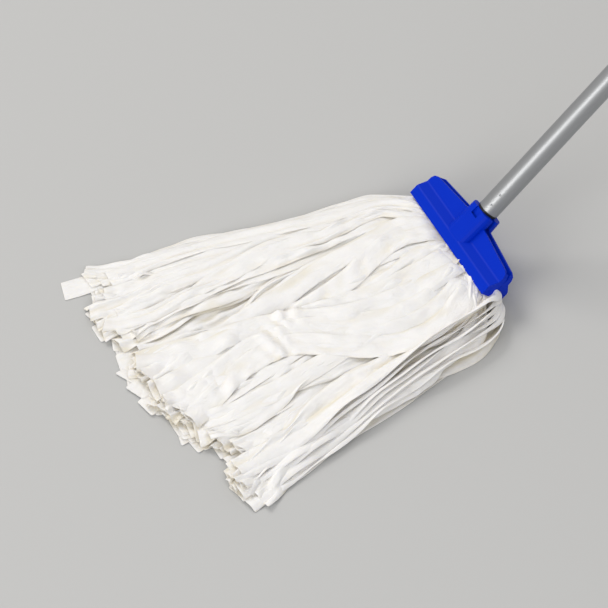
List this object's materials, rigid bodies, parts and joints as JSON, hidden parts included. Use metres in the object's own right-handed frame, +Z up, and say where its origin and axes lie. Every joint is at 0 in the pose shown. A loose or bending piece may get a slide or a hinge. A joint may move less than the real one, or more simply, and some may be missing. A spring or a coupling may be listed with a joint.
{
  "type": "strip mop",
  "caption": "Wet floor mop with a fan of flat nonwoven strips held by a two-jaw plastic clamp on a screw-in aluminium handle.",
  "frame": {"origin": "on the floor, straight below the middle of the clamp's mouth", "axes": "+Z up, +X along the clamp's mouth, +Y the way the handle leans away from the spread strips; the strips run towards -Y"},
  "size_m": [0.341, 1.4168, 1.0273],
  "materials": {
    "jaws": "semi-gloss",
    "black_plastic": "satin",
    "tube": "satin anodised",
    "pin": "brushed",
    "header_cloth": "matte",
    "strip_cloth": "matte"
  },
  "bodies": {
    "strips": {"strips_lower_a": "strip_cloth", "strips_lower_b": "strip_cloth", "strips_lower_c": "strip_cloth", "strips_lower_d": "strip_cloth", "strips_lower_e": "strip_cloth", "strips_lower_f": "strip_cloth", "strips_lower_g": "strip_cloth", "strips_upper_a": "strip_cloth", "strips_upper_b": "strip_cloth", "strips_upper_c": "strip_cloth", "strips_upper_d": "strip_cloth", "strips_upper_e": "strip_cloth", "strips_upper_f": "strip_cloth", "strips_upper_g": "strip_cloth"},
    "clamp": {"rear_jaw": "jaws", "hinge_pin": "pin", "header_band": "header_cloth", "strip_roots": "strip_cloth"},
    "jaw": {"front_jaw": "jaws"},
    "washer": {"thrust_washer": "black_plastic"},
    "handle": {"handle_tube": "tube", "screw_plug": "black_plastic", "hand_grip": "jaws"}
  },
  "joints": [
    {"name": "clamp_lean", "type": "hinge", "parent": "strips", "child": "clamp", "pos_m": [0, 0, 0.022], "axis": [1, 0, 0], "range_deg": [-44, 46]},
    {"name": "jaw_open", "type": "hinge", "parent": "clamp", "child": "jaw", "pos_m": [0, 0.01547, 0.03694], "axis": [-1, 0, 0], "range_deg": [0, 8]},
    {"name": "handle_travel", "type": "slide", "parent": "clamp", "child": "washer", "axis": [0, 0.7193, 0.6947], "range_m": [0, 0.024]},
    {"name": "handle_turn", "type": "hinge", "parent": "washer", "child": "handle", "pos_m": [0, 0.04316, 0.06368], "axis": [0, 0.7193, 0.6947], "range_deg": [0, 2160]}
  ],
  "couplings": [
    {"joint": "handle_turn", "follows": "handle_travel", "rad_per_m": 1570.8},
    {"joint": "jaw_open", "follows": "handle_travel", "rad_per_m": 5.8178}
  ]
}
